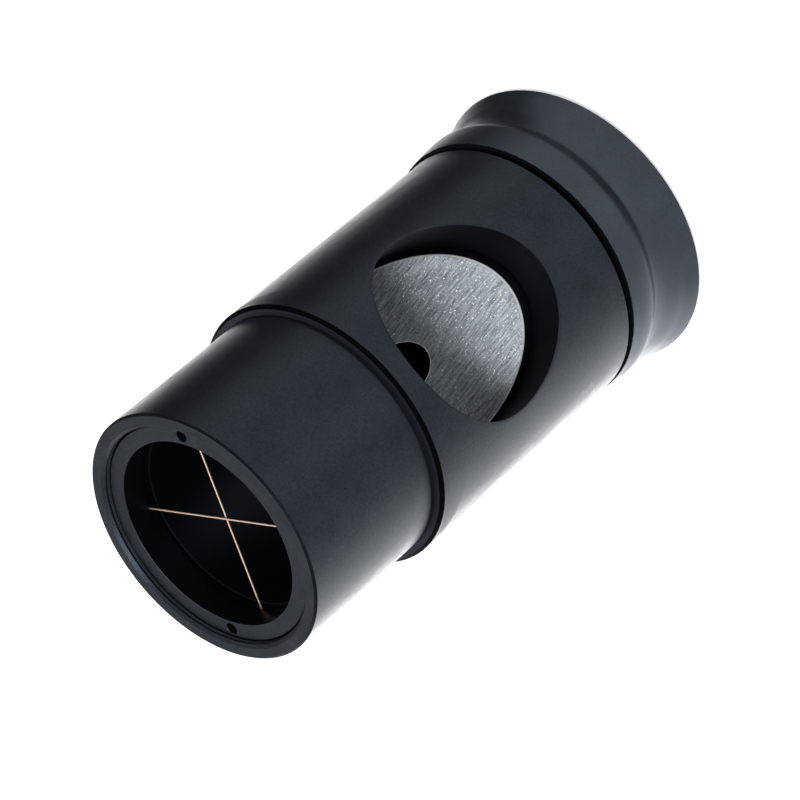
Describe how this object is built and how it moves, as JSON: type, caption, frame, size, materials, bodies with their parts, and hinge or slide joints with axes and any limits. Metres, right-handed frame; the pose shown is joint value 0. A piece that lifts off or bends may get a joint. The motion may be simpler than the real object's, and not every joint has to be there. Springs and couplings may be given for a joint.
{
  "type": "cheshire collimating eyepiece",
  "caption": "Black tubular sight tube for aligning telescope mirrors: slide-in barrel with crossed wires, round side window, slanted bright reflector with a sight hole, and a rubber eyecup.",
  "frame": {"origin": "on the tube's axis at the rim of the eyecup, the centre of the bottom of the bounding box", "axes": "+Z along the tube's axis from the eyecup towards the open end of the barrel; -Y points out of the side window"},
  "size_m": [0.037, 0.037, 0.0688],
  "materials": {
    "anodised_black": "fine-turned aluminium, satin black anodised",
    "milled_aluminium": "bare milled face with fine parallel cutter marks, the rest black anodised",
    "copper_wire": "bare drawn copper wire, slightly oxidised",
    "epoxy": "cured dark epoxy drop",
    "blackened_steel": "black-oxide steel",
    "eyecup_rubber": "moulded matte black rubber"
  },
  "bodies": {
    "tube": {"main_tube": "anodised_black", "reflector_plug": "milled_aluminium", "plug_grub_screw": "blackened_steel", "peep_cap": "anodised_black"},
    "reticle": {"reticle_carrier": "anodised_black", "cross_wire_front": "copper_wire", "cross_wire_rear": "copper_wire", "wire_bond_front_a": "epoxy", "wire_bond_front_b": "epoxy", "wire_bond_rear_a": "epoxy", "wire_bond_rear_b": "epoxy"},
    "retaining_ring": {"retaining_ring": "anodised_black"},
    "eyecup": {"eyecup": "eyecup_rubber"}
  },
  "joints": [
    {"name": "reticle_slide", "type": "slide", "parent": "tube", "child": "reticle", "axis": [0, 0, 1], "range_m": [0, 0.0033]},
    {"name": "ring_unscrew", "type": "hinge", "parent": "reticle", "child": "retaining_ring", "pos_m": [0, 0, 0.0679], "axis": [0, 0, 1], "range_deg": [0, 1980]},
    {"name": "eyecup_pull", "type": "slide", "parent": "tube", "child": "eyecup", "axis": [0, 0, -1], "range_m": [0, 0.0047]}
  ],
  "couplings": [
    {"joint": "reticle_slide", "follows": "ring_unscrew", "m_per_rad": 0.00009549}
  ]
}
